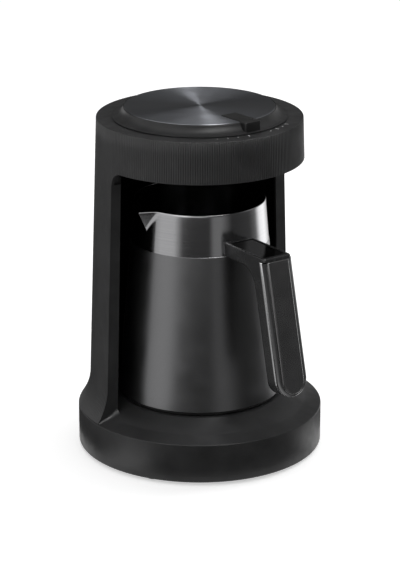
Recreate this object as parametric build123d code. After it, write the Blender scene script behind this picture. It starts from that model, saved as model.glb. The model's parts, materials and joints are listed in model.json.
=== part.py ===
from build123d import *

import math
import os

# Electric turkish coffee maker with a lift-off jug. Sizes are in millimetres.
# The origin is the centre of the base's flat underside. +Z is up, the front is -Y.

# ---- fits -------------------------------------------------------------------
seam = 0.1               # between fixed pieces that meet
loose = 0.3              # between curved faces that pass or sit near each other
running = 0.05           # radial clearance of a shaft in its bore
past = 20.0              # how far a cutting form reaches past what it cuts

# ---- base -------------------------------------------------------------------
base_radius = 82.5
base_side = 26.8         # height of the smooth side
base_wall = 2.4
base_edge_round = 1.6    # bottom outer edge
base_top_round = 0.8     # top outer edge
rim_width = 10.9         # sloped ring from the edge in to the crease
rim_rise = 3.1           # climb of the rim from the edge to the crease
seat_radius = 56.0       # flat seat under the jug
seat_rise = 6.1          # climb from the crease to the seat
seat_crown = 0.5         # bulge of that climb

cover_thickness = 2.4    # bottom plate
foot_count = 4
foot_radius = 6.0
foot_inset = 9.7         # centre of a foot in from the base's edge
foot_first = -59.0       # angle of the first foot from the front
foot_sink = 0.8
foot_proud = 1.8

base_screw_inset = 22.5
base_screw_first = 10.0
screw_radius = 1.5
screw_head_radius = 2.9
screw_head_height = 1.4
screw_length = 12.0
boss_radius = 4.0
stand_radius = 3.0       # posts under the boards

gland_height = 13.0      # axis above the underside
gland_bore = 3.6
gland_body = 6.0
gland_flange = 8.5
gland_flange_thickness = 2.0
gland_length = 10.6

board_thickness = 1.6
power_board_size = (76.0, 34.0)
power_board_y = -35.0
power_board_stand = 5.0
relay_size = (16.0, 12.0, 10.0)
relay_inset = 18.0       # from the board's left end
choke_radius = 6.0
choke_height = 11.0
choke_inset = 24.0       # from the board's right end
terminal_size = (22.0, 12.0, 5.0)
terminal_inset = 34.5

post_radius = 15.0       # power connector that stands in the seat
post_height = 8.0
post_flange = 20.0
post_flange_thickness = 2.4
post_round = 1.0
pin_hole = 3.2
groove_inner = 8.0
groove_outer = 10.4
groove_depth = 7.6
contact_wall = 0.7
contact_sink = 0.5       # contacts below the post's top

# ---- outer shell ------------------------------------------------------------
head_top = 226.7         # flat top of the head
head_height = 27.7       # from the skirt's lower edge to the flat top
head_radius = 68.15      # at the flat top
draft = 0.0343           # growth of the radius per mm down
shell_wall = 2.2
shell_top_wall = 2.4
flute_count = 280
flute_depth = 0.34
flare_start = 49.0       # height where the foot starts to widen
flare_margin = 0.2       # foot inside the base's edge
flare_bands = 4
arch_radius = 9.0        # rounded corner of the opening under the head
edge_thickness = 2.2     # front faces of the column

# ---- column liner -----------------------------------------------------------
liner_radius = 66.35     # at the seat level
liner_draft = 0.0282
liner_wall = 1.8

# ---- head -------------------------------------------------------------------
floor_thickness = 3.0
floor_lift = 0.5         # head floor above the skirt's lower edge
head_screw_ring = 55.0
head_screw_count = 4
control_board_size = (84.0, 60.0)
control_board_stand = 4.2
chip_size = (12.0, 12.0, 1.6)
capacitor_radius = 4.0
capacitor_height = 8.0
parts_inset = (16.0, 12.0)  # capacitor from the board's corner, chip in the same row
switch_size = (24.0, 24.0, 7.0)
switch_socket_floor = 2.0
switch_bush_radius = 5.0
switch_bush_height = 2.6
sensor_y = -16.0
sensor_radius = 6.0
lens_radius = 4.6
lens_round = 0.8
buzzer_radius = 6.0
buzzer_height = 5.0
buzzer_inset = (14.0, 16.0)  # from the board's corner

# ---- dial -------------------------------------------------------------------
dial_gap = 0.4           # under the plinth
plinth_radius = 58.0
plinth_edge = 0.5
plinth_hollow = 1.9      # sag of the concave side
shoulder_width = 0.5     # thin lip round the disc
shoulder_drop = 0.4      # lip below the disc's face
disc_radius = 49.7
disc_thickness = 0.8
disc_height = 6.7        # top of the disc above the head top
dial_plate = 1.8
hub_radius = 8.9
hub_length = 13.0
hub_collar_wall = 2.4
shaft_radius = 3.0
shaft_flat = 0.5
pointer_angle = 3.5      # rest direction from the front
pointer_width = 12.5
pointer_inner = 29.5
pointer_outer = 55.6
pointer_proud = 0.3
pointer_round = 2.0

# ---- jug --------------------------------------------------------------------
jug_lift_gap = 0.3       # jug base above the seat at rest
jug_base_height = 2.1    # black ring below the steel
jug_base_inset = 0.6
jug_base_round = 0.8
jug_rim_height = 171.0   # rim above the underside of the machine
jug_rim_radius = 44.0
jug_taper = 0.081
jug_wall = 0.9
coating_top = 143.2
coating_thickness = 0.4
coating_proud = 0.12
jug_floor_height = 58.0
jug_floor_thickness = 0.9
jug_floor_flange = 3.0
spout_angle = -85.0
spout_half_width = 10.3
spout_reach = 51.8
spout_low = 156.4
spout_drop = 1.2         # tip below the rim
spout_lean = 1.4         # wall of the beak across its slope, per wall across the cone
spout_root = 13.7        # depth of the beak's form behind the rim
spreader_radius = 36.0
spreader_thickness = 3.0
element_ring = 27.5
element_radius = 3.2
element_gap_angle = 40.0
cold_end_radius = 1.9
cold_end_length = 6.0
thermostat_radius = 8.0
pan_wall = 2.0
pan_height = 8.0
socket_wall = 2.0
socket_depth = 9.2
socket_roof = 2.4
socket_flange_width = 4.0
socket_flange_thickness = 1.6
pin_radius = 1.8
blade_wall = 0.6
pin_round = 0.8

# ---- handle -----------------------------------------------------------------
handle_top = 152.5
handle_reach = 87.75     # outer face at the level of the top
handle_lean = 13.5       # degrees off the vertical
handle_length = 90.5     # along the outer face
handle_half_width = 10.8
cover_half_width = 8.3
cover_depth = 1.7
cover_round = 1.5
cover_border = 1.5       # bezel that shows below the cover's lower end
bezel_half_width = 12.2
bezel_depth = 2.6
bezel_round = 0.9
bezel_proud = 0.9        # bezel past the body's lower end
bezel_rail = 5.2
grip_depth = 11.5
grip_round = 2.6
arm_thickness = 10.6
arm_inner_radius = 15.0
cap_thickness = 2.2      # lip of the body above cover and bezel
cap_round = 1.2
cap_inset = 0.4          # lip behind the outer face
inlay_border = 1.8
inlay_lip = 3.0          # from the outer face in to the inlay
inlay_depth = 1.2
inlay_sink = 0.4
bracket_wall = 1.5
bracket_half_width = 6.0
bracket_reach = 66.0
bracket_height = 5.6     # tongue below the handle top
saddle_low = 8.4         # plate on the jug's wall, below the handle top
saddle_high = 1.6
saddle_thickness = 1.0
handle_screw_places = (54.0, 61.0)
handle_screw_length = 6.5

# ---- wiring -----------------------------------------------------------------
harness_angle = 168.0
harness_radius = 1.2
harness_low = 11.0
harness_bend = 5.0

# ---- levels and radii that follow -------------------------------------------
head_bottom = head_top - head_height
crease_radius = base_radius - rim_width
foot_ring = base_radius - foot_inset
base_screw_ring = base_radius - base_screw_inset
terminal_ring = base_radius - terminal_inset
crease_z = base_side + rim_rise
seat_z = crease_z + seat_rise
jug_base_z = seat_z + jug_lift_gap
steel_z = jug_base_z + jug_base_height
foot_z = base_side + seam
floor_z = head_bottom + floor_lift
board_z = floor_z + floor_thickness + control_board_stand
disc_z = head_top + disc_height
plinth_z = head_top + dial_gap
spreader_z = jug_floor_height - spreader_thickness
socket_z = jug_base_z + socket_depth
switch_z = board_z + board_thickness + 2 * seam
grip_front = cover_depth + bezel_depth + 2 * seam


def shell_radius(z):
    """Outer radius of the shell's cone at a height."""
    return head_radius + (head_top - z) * draft


def liner_inner(z):
    """Inner radius of the column at a height."""
    return liner_radius - (z - seat_z) * liner_draft


def jug_radius(z):
    """Outer radius of the jug at a height."""
    return jug_rim_radius + (jug_rim_height - z) * jug_taper


def flare(z):
    """How far the foot stands out from the shell's cone at a height, along one curve."""
    fall = flare_start - foot_z
    spread = base_radius - flare_margin - shell_radius(foot_z)
    drop = max(0.0, flare_start - z)
    return spread * (drop / fall) ** 2


def polar(radius, angle, z=0.0):
    """Point at an angle in degrees from the front, towards +X."""
    a = math.radians(angle)
    return Vector(radius * math.sin(a), -radius * math.cos(a), z)


def turned(*points):
    """Solid of revolution of a closed outline of (radius, height) points."""
    return revolve(Plane.XZ * make_face(Polyline(*points, close=True)), Axis.Z)


def tube(outer, inner, low, high):
    return turned((inner, low), (outer, low), (outer, high), (inner, high))


def disc(radius, low, high):
    return Pos(0, 0, (low + high) / 2) * Cylinder(radius, high - low)


def block(size_x, size_y, low, high, x=0.0, y=0.0):
    return Pos(x, y, (low + high) / 2) * Box(size_x, size_y, high - low)


def half_space(low, high, y_low, y_high):
    """Slab across the whole width, to cut or keep a part of the machine."""
    wide = 3 * base_radius
    return block(wide, y_high - y_low, low, high, 0, (y_low + y_high) / 2)


def around(shape, count, first=0.0):
    return [Rot(0, 0, first + i * 360.0 / count) * shape for i in range(count)]


def save(name, *solids):
    """One STEP file for a sub-part, which may hold several separate solids."""
    parts = [s for shape in solids for s in shape.solids()]
    result = parts[0] if len(parts) == 1 else Compound(children=parts)
    export_step(result, os.path.join("parts", name + ".step"))


# ---- base -------------------------------------------------------------------
def base_top_edges(lift, inner, drop):
    """Top outline from the outer edge to the seat, lifted by a clearance."""
    outer = base_radius - base_top_round if inner is None else inner
    start = (outer, base_side + lift - drop)
    crease = (crease_radius, crease_z + lift - drop)
    seat = (seat_radius, seat_z + lift - drop)
    return [Line(start, crease), SagittaArc(crease, seat, seat_crown)]


def base_mass(lift=0.0):
    """Everything below the base's top surface, used to seat what stands on it."""
    wide = base_radius + past
    top = base_top_edges(lift, None, 0)
    start = top[0] @ 0
    seat = top[1] @ 1
    outline = [
        Polyline((0, seat.Y), (0, -1), (wide, -1), (wide, start.Y), (start.X, start.Y)),
        *top,
        Line(seat, (0, seat.Y)),
    ]
    return revolve(Plane.XZ * make_face(outline), Axis.Z)


def base_housing():
    edge = base_edge_round
    rounding = base_top_round
    hole = post_radius + seam
    outer = [
        Line((base_radius - base_wall, 0), (base_radius - edge, 0)),
        RadiusArc((base_radius - edge, 0), (base_radius, edge), -edge),
        Line((base_radius, edge), (base_radius, base_side - rounding)),
        RadiusArc((base_radius, base_side - rounding), (base_radius - rounding, base_side), -rounding),
        *base_top_edges(0, None, 0),
        Line((seat_radius, seat_z), (hole, seat_z)),
    ]
    inner_side = base_radius - base_wall
    under = base_top_edges(0, inner_side, base_wall)
    inner = [
        Polyline((hole, seat_z), (hole, seat_z - base_wall), (seat_radius, seat_z - base_wall)),
        *under,
        Line(under[0] @ 0, (inner_side, 0)),
    ]
    body = revolve(Plane.XZ * make_face(outer + inner), Axis.Z)
    boss_top = seat_z - base_wall / 2
    boss = Pos(0, -base_screw_ring, 0) * disc(boss_radius, cover_thickness + seam, boss_top - rim_rise)
    pilot_top = cover_thickness + screw_length
    pilot = Pos(0, -base_screw_ring, 0) * disc(screw_radius + running, 0, pilot_top)
    for b in around(boss, foot_count, base_screw_first):
        body += b
    for p in around(pilot, foot_count, base_screw_first):
        body -= p
    gland_hole = Pos(0, base_radius, gland_height) * Rot(90, 0, 0) * Cylinder(gland_body + seam, gland_length)
    harness_hole = disc(2 * harness_radius, crease_z - seat_rise, seat_z)
    return body - gland_hole - Pos(*polar(harness_r(crease_z), harness_angle)) * harness_hole


def base_cover():
    radius = base_radius - base_wall - loose
    plate = disc(radius, 0, cover_thickness)
    recess = Pos(0, -foot_ring, 0) * disc(foot_radius + seam, 0, foot_sink)
    hole = Pos(0, -base_screw_ring, 0) * disc(screw_radius + loose, 0, cover_thickness)
    sink = Pos(0, -base_screw_ring, 0) * disc(screw_head_radius + loose, 0, screw_head_height)
    for shape in around(recess, foot_count, foot_first):
        plate -= shape
    for shape in around(hole + sink, foot_count, base_screw_first):
        plate -= shape
    stand = disc(stand_radius, cover_thickness, cover_thickness + power_board_stand)
    dx = power_board_size[0] / 2 - stand_radius - seam
    dy = power_board_size[1] / 2 - stand_radius - seam
    for x in (-dx, dx):
        for y in (-dy, dy):
            plate += Pos(x, power_board_y + y, 0) * stand
    return plate


def rubber_feet():
    foot = disc(foot_radius, -foot_proud, foot_sink)
    foot = fillet(foot.faces().sort_by(Axis.Z)[0].edges(), foot_proud / 2)
    return around(Pos(0, -foot_ring, 0) * foot, foot_count, foot_first)


def screw(length):
    """Pan-head screw that points up, with the underside of its head at 0."""
    head = disc(screw_head_radius, -screw_head_height, 0)
    head = fillet(head.faces().sort_by(Axis.Z)[0].edges(), screw_head_height / 3)
    return head + disc(screw_radius, 0, length)


def base_screws():
    one = Pos(0, -base_screw_ring, screw_head_height) * screw(screw_length - 1)
    return around(one, foot_count, base_screw_first)


def cord_gland():
    outer_y = base_radius + gland_flange_thickness + seam
    body = tube(gland_body, gland_bore, 0, gland_length)
    body += tube(gland_flange, gland_bore, gland_length - gland_flange_thickness, gland_length)
    inner_face = outer_y - gland_length
    return Pos(0, inner_face, gland_height) * Rot(-90, 0, 0) * body


def power_board():
    low = cover_thickness + power_board_stand + seam
    board = block(*power_board_size, low, low + board_thickness, 0, power_board_y)
    top = low + board_thickness
    half = power_board_size[0] / 2
    relay = block(*relay_size[:2], top, top + relay_size[2], relay_inset - half, power_board_y)
    choke = Pos(half - choke_inset, power_board_y, top) * disc(choke_radius, 0, choke_height)
    return board + relay + choke


def terminal_block():
    centre = polar(terminal_ring, harness_angle)
    low = cover_thickness + seam
    return block(*terminal_size[:2], low, low + terminal_size[2], centre.X, centre.Y)


def connector_post():
    low = seat_z - base_wall - seam - post_flange_thickness
    top = seat_z + post_height
    body = disc(post_radius, low, top)
    body = fillet(body.faces().sort_by(Axis.Z)[-1].edges(), post_round)
    body += disc(post_flange, low, low + post_flange_thickness)
    body -= disc(pin_hole, top - groove_depth, top)
    body -= tube(groove_outer, groove_inner, top - groove_depth, top)
    return body


def connector_contacts():
    top = seat_z + post_height - contact_sink
    low = seat_z + post_height - groove_depth
    sleeve = tube(pin_hole - running, pin_hole - contact_wall, low, top)
    ring = tube(groove_outer - running, groove_outer - contact_wall, low, top)
    return [sleeve, ring]


# ---- outer shell ------------------------------------------------------------
def flute_line(radius, z, first, last):
    """Crests and valleys of the fluted wall between two angles, at one height."""
    step = 180.0 / flute_count
    steps = round((last - first) / step)
    valley = 1 - flute_depth / head_radius
    return [polar(radius * (valley if i % 2 else 1), first + i * step, z) for i in range(steps + 1)]


def fluted_half(levels, first, last):
    """Solid half of the fluted body through the given heights."""
    lines = [flute_line(shell_radius(z) + flare(z), z, first, last) for z in levels]
    faces = [Face(Wire.make_polygon(lines[0])), Face(Wire.make_polygon(lines[-1]))]
    for low, high in zip(lines, lines[1:]):
        for i in range(len(low) - 1):
            faces.append(Face(Wire.make_polygon([low[i], low[i + 1], high[i + 1], high[i]])))
    ends = [line[0] for line in lines] + [line[-1] for line in reversed(lines)]
    faces.append(Face(Wire.make_polygon(ends)))
    return Solid(Shell(faces))


def opening_cutter():
    """The space under the head, open to the front, with rounded upper corners."""
    deep = base_radius + past
    outline = Polyline((0, 0), (0, head_bottom), (-deep, head_bottom), (-deep, 0), close=True)
    side = make_face(outline)
    corner = side.vertices().sort_by_distance(Vector(0, head_bottom))[0]
    side = fillet(corner, arch_radius)
    return extrude(Plane.YZ * side, deep, both=True)


def shell_cavity():
    """Inside of the shell: the head, the space behind the column's front faces, and the bay."""
    top = head_top - shell_top_wall
    bottom = foot_z - 1
    band = (flare_start - bottom) / flare_bands
    flare_levels = [flare_start - i * band for i in range(flare_bands + 1)]
    wall = [(shell_radius(z) + flare(z) - shell_wall, z) for z in flare_levels]
    back = turned((0, top), (shell_radius(top) - shell_wall, top), *wall, (0, bottom))
    back &= half_space(bottom - 1, top + 1, edge_thickness, 2 * base_radius)
    low = head_bottom - arch_radius - 1
    head_wall = [(shell_radius(z) - shell_wall, z) for z in (top, low)]
    head = turned((0, top), *head_wall, (0, low))
    front = head & half_space(low - 1, top + 1, -2 * base_radius, 0)
    skirt = head & half_space(floor_z, top + 1, -2 * base_radius, 2 * base_radius)
    bay_wall = [(liner_inner(z), z) for z in (bottom, floor_z)]
    bay = turned((0, bottom), *bay_wall, (0, floor_z))
    return [back, front, skirt, bay]


def shell_bosses():
    """Bosses under the shell's top: one round the dial hub, the rest for the head screws."""
    top = head_top - shell_top_wall / 2
    bore = hub_radius + running
    collar = tube(bore + hub_collar_wall, bore, head_top - hub_length / 2, top)
    boss = Pos(0, -head_screw_ring, 0) * disc(boss_radius, floor_z + floor_thickness + seam, top)
    return [collar, *around(boss, head_screw_count)]


def outer_shell():
    band = (flare_start - foot_z) / flare_bands
    foot_levels = [foot_z + i * band for i in range(flare_bands + 1)]
    body = fluted_half([*foot_levels, head_top], 90, 270)
    body += fluted_half([head_bottom - arch_radius - 2, head_top], -90, 90)
    body -= opening_cutter()
    for space in shell_cavity():
        body -= space
    body -= base_mass(seam)
    for boss in shell_bosses():
        body += boss
    body -= disc(hub_radius + running, head_top - hub_length, head_top + 1)
    pilot = Pos(0, -head_screw_ring, 0) * disc(screw_radius + running, 0, floor_z + screw_length + 1)
    for p in around(pilot, head_screw_count):
        body -= p
    return body


def column_liner():
    low = base_side
    high = floor_z - seam
    body = turned(
        (liner_inner(low), low),
        (liner_inner(low) + liner_wall, low),
        (liner_inner(high) + liner_wall, high),
        (liner_inner(high), high),
    )
    body &= half_space(low - 1, high + 1, edge_thickness + seam, 2 * base_radius)
    return body - base_mass(seam)


# ---- head -------------------------------------------------------------------
def head_floor():
    radius = shell_radius(floor_z) - shell_wall - 2 * seam
    top = floor_z + floor_thickness
    plate = disc(radius, floor_z, top)
    hole = Pos(0, -head_screw_ring, 0) * disc(screw_radius + loose, floor_z, top)
    sink = Pos(0, -head_screw_ring, 0) * disc(screw_head_radius + loose, floor_z, floor_z + screw_head_height)
    for shape in around(hole + sink, head_screw_count):
        plate -= shape
    plate -= Pos(0, sensor_y, 0) * disc(lens_radius + seam, floor_z, top)
    plate -= Pos(*polar(harness_r(floor_z), harness_angle)) * disc(2 * harness_radius, floor_z, top)
    stand = disc(stand_radius, top, board_z)
    dx = control_board_size[0] / 2 - stand_radius - seam
    dy = control_board_size[1] / 2 - stand_radius - seam
    for x in (-dx, dx):
        for y in (-dy, dy):
            plate += Pos(x, y, 0) * stand
    return plate


def head_screws():
    one = Pos(0, -head_screw_ring, floor_z + screw_head_height) * screw(screw_length - 1)
    return around(one, head_screw_count)


def control_board():
    low = board_z + seam
    board = block(*control_board_size, low, low + board_thickness)
    top = low + board_thickness
    x = parts_inset[0] - control_board_size[0] / 2
    y = control_board_size[1] / 2 - parts_inset[1]
    chip = block(*chip_size[:2], top, top + chip_size[2], x)
    capacitor = Pos(x, y, top) * disc(capacitor_radius, 0, capacitor_height)
    return board + chip + capacitor


def rotary_switch():
    top = switch_z + switch_size[2]
    body = block(*switch_size[:2], switch_z, top)
    body += disc(switch_bush_radius, top, top + switch_bush_height)
    return body - disc(shaft_radius + running, switch_z + switch_socket_floor, top + switch_bush_height)


def foam_sensor():
    body = disc(sensor_radius, floor_z + floor_thickness + seam, board_z - seam)
    return Pos(0, sensor_y, 0) * body


def sensor_lens():
    lens = disc(lens_radius, floor_z + loose, floor_z + floor_thickness)
    lens = fillet(lens.faces().sort_by(Axis.Z)[0].edges(), lens_round)
    return Pos(0, sensor_y, 0) * lens


def buzzer():
    x = control_board_size[0] / 2 - buzzer_inset[0]
    y = control_board_size[1] / 2 - buzzer_inset[1]
    return Pos(x, y, 0) * disc(buzzer_radius, switch_z, switch_z + buzzer_height)


# ---- dial -------------------------------------------------------------------
def pointer_bar(clearance):
    """Plan of the pointer as a bar, grown by a clearance, through the whole dial."""
    length = pointer_outer - pointer_inner + 2 * clearance
    width = pointer_width + 2 * clearance
    centre = (pointer_outer + pointer_inner) / 2
    return block(width, length, plinth_z - 1, disc_z + 2, 0, -centre)


def dial_body():
    plate_top = disc_z - disc_thickness - seam
    rim = disc_radius + seam
    shoulder = (rim + shoulder_width, disc_z - shoulder_drop)
    foot = (plinth_radius, plinth_z + plinth_edge)
    outline = [
        Line((plinth_radius, plinth_z), foot),
        SagittaArc(foot, shoulder, plinth_hollow),
        Polyline(shoulder, (rim, shoulder[1]), (rim, plate_top), (0, plate_top), (0, plate_top - dial_plate)),
        Polyline(
            (0, plate_top - dial_plate),
            (rim - dial_plate, plate_top - dial_plate),
            (rim + dial_plate, plinth_z),
            (plinth_radius, plinth_z),
        ),
    ]
    body = revolve(Plane.XZ * make_face(outline), Axis.Z)
    body += disc(hub_radius, plate_top - hub_length, plate_top - dial_plate)
    front = tube(plinth_radius + 1, rim, plinth_z - 1, disc_z + 1)
    body -= front & pointer_bar(seam)
    return body - shaft_form(running, plate_top - hub_length, plate_top - dial_plate)


def dial_disc():
    body = disc(disc_radius, disc_z - disc_thickness, disc_z)
    body = chamfer(body.faces().sort_by(Axis.Z)[-1].edges(), disc_thickness / 4)
    return body - pointer_bar(seam)


def dial_pointer():
    body = pointer_bar(0)
    body &= disc(pointer_outer + 5, plinth_z, disc_z + pointer_proud)
    front = body.edges().filter_by(Axis.Z).sort_by(Axis.Y)[:2]
    body = fillet(front, pointer_round)
    rest = disc(disc_radius + 2 * seam, plinth_z - 1, disc_z - disc_thickness)
    return body - rest


def shaft_form(clearance, low, high):
    """Round shaft with a flat, grown by a clearance."""
    radius = shaft_radius + clearance
    flat_y = radius - shaft_flat
    return disc(radius, low, high) - block(4 * radius, 2 * shaft_flat, low, high, 0, flat_y + shaft_flat)


def dial_shaft():
    low = switch_z + switch_socket_floor + loose
    bush_top = switch_z + switch_size[2] + switch_bush_height + loose
    top = disc_z - disc_thickness - seam - dial_plate - loose
    return disc(shaft_radius, low, bush_top) + shaft_form(0, bush_top, top)


# ---- jug --------------------------------------------------------------------
def jug_cone(inset, low, high):
    """Solid of the jug's cone, moved in by an inset."""
    return turned((0, low), (jug_radius(low) - inset, low), (jug_radius(high) - inset, high), (0, high))


def beak(inset):
    """Pouring beak as a wedge that runs down into the wall, moved in by an inset."""
    half = math.degrees(math.asin((spout_half_width - inset) / jug_rim_radius))
    high = jug_rim_height
    low = spout_low + 2 * inset
    depth = inset * spout_lean
    left = polar(jug_rim_radius - depth, spout_angle - half, high)
    right = polar(jug_rim_radius - depth, spout_angle + half, high)
    tip = polar(spout_reach - depth, spout_angle, high - spout_drop)
    foot = polar(jug_radius(low) - depth, spout_angle, low)
    root = polar(jug_rim_radius - spout_root, spout_angle, high)
    corners = [(left, tip, right), (left, right, root), (left, foot, tip), (tip, foot, right)]
    corners += [(left, root, foot), (right, foot, root)]
    return Solid(Shell([Face(Wire.make_polygon([a, b, c])) for a, b, c in corners]))


def jug_body():
    outer = jug_cone(0, steel_z, jug_rim_height) + beak(0)
    inner = jug_cone(jug_wall, steel_z - 1, jug_rim_height + 1) + beak(jug_wall)
    recess = coating_thickness - coating_proud + seam / 2
    skin = jug_cone(-1, steel_z - 1, coating_top) - jug_cone(recess, steel_z - 2, coating_top + 1)
    return outer - inner - skin


def jug_coating():
    low = steel_z
    inside = coating_thickness - coating_proud
    return jug_cone(-coating_proud, low, coating_top) - jug_cone(inside, low - 1, coating_top + 1)


def jug_floor():
    bottom = jug_floor_height
    top = bottom + jug_floor_thickness
    gap = jug_wall + seam
    low = bottom - jug_floor_flange
    flange_inner = gap + jug_floor_thickness
    return turned(
        (0, bottom),
        (0, top),
        (jug_radius(top) - gap, top),
        (jug_radius(low) - gap, low),
        (jug_radius(low) - flange_inner, low),
        (jug_radius(bottom) - flange_inner, bottom),
    )


def heat_spreader():
    return disc(spreader_radius, spreader_z, jug_floor_height - seam / 2)


def heating_element():
    """Tubular element bent to an open ring, with its two cold ends turned down."""
    z = spreader_z - seam - element_radius
    arc = CenterArc((0, 0), element_ring, element_gap_angle / 2, 360 - element_gap_angle)
    path = Pos(0, 0, z) * arc
    section = Plane(origin=path @ 0, z_dir=path % 0) * Circle(element_radius)
    ring = sweep(section, path)
    for t in (0, 1):
        ring += Pos(*(path @ t)) * disc(cold_end_radius, -cold_end_length, 0)
    return ring


def thermostat():
    return disc(thermostat_radius, socket_z + socket_roof + seam, spreader_z - seam)


def jug_base_ring():
    outer = jug_radius(jug_base_z) - jug_base_inset
    low = jug_base_z
    step = steel_z - seam
    high = low + pan_height
    spigot = jug_radius(high) - jug_wall - loose
    hole = post_radius + loose + socket_wall + seam
    body = turned(
        (hole, low),
        (outer, low),
        (outer, step),
        (spigot, step),
        (spigot, high),
        (spigot - pan_wall, high),
        (spigot - pan_wall, low + pan_wall),
        (hole, low + pan_wall),
    )
    edge = body.edges().filter_by(GeomType.CIRCLE).group_by(Axis.Z)[0].sort_by(SortBy.LENGTH)[-1]
    return fillet(edge, jug_base_round)


def jug_connector():
    inner = post_radius + loose
    outer = inner + socket_wall
    top = socket_z + socket_roof
    flange = outer + socket_flange_width
    flange_low = jug_base_z + pan_wall + seam
    flange_high = flange_low + socket_flange_thickness
    return turned(
        (0, socket_z),
        (inner, socket_z),
        (inner, jug_base_z),
        (outer, jug_base_z),
        (outer, flange_low),
        (flange, flange_low),
        (flange, flange_high),
        (outer, flange_high),
        (outer, top),
        (0, top),
    )


def jug_contacts():
    low = jug_base_z + 2 * loose
    top = socket_z - seam / 2
    blade = groove_outer - contact_wall - loose
    pin = disc(pin_radius, low, top)
    pin = fillet(pin.faces().sort_by(Axis.Z)[0].edges(), pin_round)
    return [pin, tube(blade, blade - blade_wall, low, top)]


# ---- handle -----------------------------------------------------------------
def face_plane(depth=0.0):
    """Plane of the handle's outer face, moved in by a depth, with +y up the face."""
    lean = math.radians(handle_lean)
    outward = Vector(0, -math.cos(lean), math.sin(lean))
    origin = Vector(0, -handle_reach, handle_top) - outward * depth
    return Plane(origin=origin, x_dir=(1, 0, 0), z_dir=outward)


def face_reach(z, depth):
    """Distance from the axis of the plane at a depth behind the outer face, at a height."""
    lean = math.radians(handle_lean)
    return handle_reach + (handle_top - z) * math.tan(lean) - depth / math.cos(lean)


def stadium(half_width, front, back, length=handle_length, above=30.0):
    """Slab behind the outer face: straight sides and a half-round lower end."""
    height = above + length - half_width
    straight = Pos(0, above - height / 2) * Rectangle(2 * half_width, height)
    outline = straight + Pos(0, half_width - length) * Circle(half_width)
    return extrude(face_plane(back) * outline, back - front)


def below(z):
    """Everything below a height, to cut the handle's layers off level."""
    return half_space(0, z, -2 * base_radius, 0)


def front_face(body, depth=0.0):
    """Face of a layer of the handle that lies at a depth behind the outer face."""
    plane = face_plane(depth)
    return body.faces().sort_by_distance(plane.origin + plane.y_dir * (-handle_length / 2))[0]


def handle_cover():
    length = handle_length + bezel_proud - cover_border
    body = stadium(cover_half_width, 0, cover_depth, length) & below(handle_top - cap_thickness - seam)
    return fillet(front_face(body).edges(), cover_round)


def handle_bezel():
    """Bright frame under the cover, wider than it all round."""
    front = cover_depth + seam
    back = front + bezel_depth
    length = handle_length + bezel_proud
    body = stadium(bezel_half_width, front, back, length) & below(handle_top - cap_thickness - seam)
    body = fillet(front_face(body, front).edges(), bezel_round)
    top = handle_top - cap_thickness - bezel_rail
    hole = stadium(bezel_half_width - bezel_rail, front - 1, back + 1, length - bezel_rail) & below(top)
    return body - hole


def arm_profile():
    """Side outline of the handle body in the YZ plane, before its lower end is rounded."""
    front = grip_front
    back = front + grip_depth
    cap_z = handle_top - cap_thickness
    arm_z = handle_top - arm_thickness
    low = handle_top - handle_length - grip_depth
    root = jug_rim_radius
    outline = Polyline(
        (-root, handle_top),
        (-face_reach(handle_top, cap_inset), handle_top),
        (-face_reach(cap_z, cap_inset), cap_z),
        (-face_reach(cap_z, front), cap_z),
        (-face_reach(low, front), low),
        (-face_reach(low, back), low),
        (-face_reach(arm_z, back), arm_z),
        (-root, arm_z),
        close=True,
    )
    side = make_face(outline)
    inner = side.vertices().sort_by_distance(Vector(-face_reach(arm_z, back), arm_z))[0]
    side = fillet(inner, arm_inner_radius)
    lip = side.vertices().sort_by_distance(Vector(-face_reach(handle_top, cap_inset), handle_top))[0]
    return fillet(lip, cap_round)


def bracket_form(clearance):
    """Steel bracket: a saddle on the jug's wall and a tongue in the arm, grown by a clearance."""
    tongue_high = handle_top - bracket_height
    width = 2 * (bracket_half_width + clearance)
    reach = bracket_reach + clearance
    tongue_low = tongue_high - bracket_wall
    tongue = block(width, reach, tongue_low - clearance, tongue_high + clearance, 0, -reach / 2)
    low = handle_top - saddle_low - clearance
    high = handle_top - saddle_high + clearance
    saddle = jug_cone(-saddle_thickness - clearance, low, high)
    saddle &= block(width, reach, low, high, 0, -reach / 2)
    return tongue + saddle - jug_cone(-seam / 2, steel_z, jug_rim_height)


def handle_blank():
    body = extrude(Plane.YZ * arm_profile(), handle_half_width, both=True)
    end = stadium(handle_half_width, 0, handle_reach)
    upper = half_space(handle_top - handle_length / 2, handle_top, -2 * base_radius, 0)
    return body & (end + upper)


def inlay_form(clearance, thickness, top):
    """Glossy strip let into the arm's top."""
    width = 2 * (handle_half_width - inlay_border + clearance)
    near = jug_radius(handle_top) + inlay_border - clearance
    far = face_reach(handle_top, inlay_lip) + clearance
    return block(width, far - near, top - thickness, top, 0, -(near + far) / 2)


def handle_screw_hole(radius, low, high):
    return [Pos(0, -place, 0) * disc(radius, low, high) for place in handle_screw_places]


def is_inner_edge(point, middle):
    """True on the long edges of the handle body that face the jug."""
    on_side = abs(abs(point.X) - handle_half_width) < seam
    return on_side and point.Z < handle_top - seam and -point.Y < face_reach(point.Z, middle)


def handle_body():
    body = handle_blank()
    middle = grip_front + grip_depth / 2
    inner = body.edges().filter_by(lambda e: is_inner_edge(e.center(), middle))
    body = fillet(inner, grip_round)
    body -= jug_cone(-coating_proud - seam, steel_z, jug_rim_height)
    body -= bracket_form(seam)
    body -= inlay_form(seam, inlay_depth, handle_top)
    tongue = handle_top - bracket_height
    top = handle_top - inlay_depth
    for hole in handle_screw_hole(screw_radius + running, tongue - handle_screw_length, top):
        body -= hole
    for sink in handle_screw_hole(screw_head_radius + seam, tongue + seam, top):
        body -= sink
    return body


def handle_top_inlay():
    return inlay_form(0, inlay_depth - inlay_sink - seam, handle_top - inlay_sink)


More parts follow.
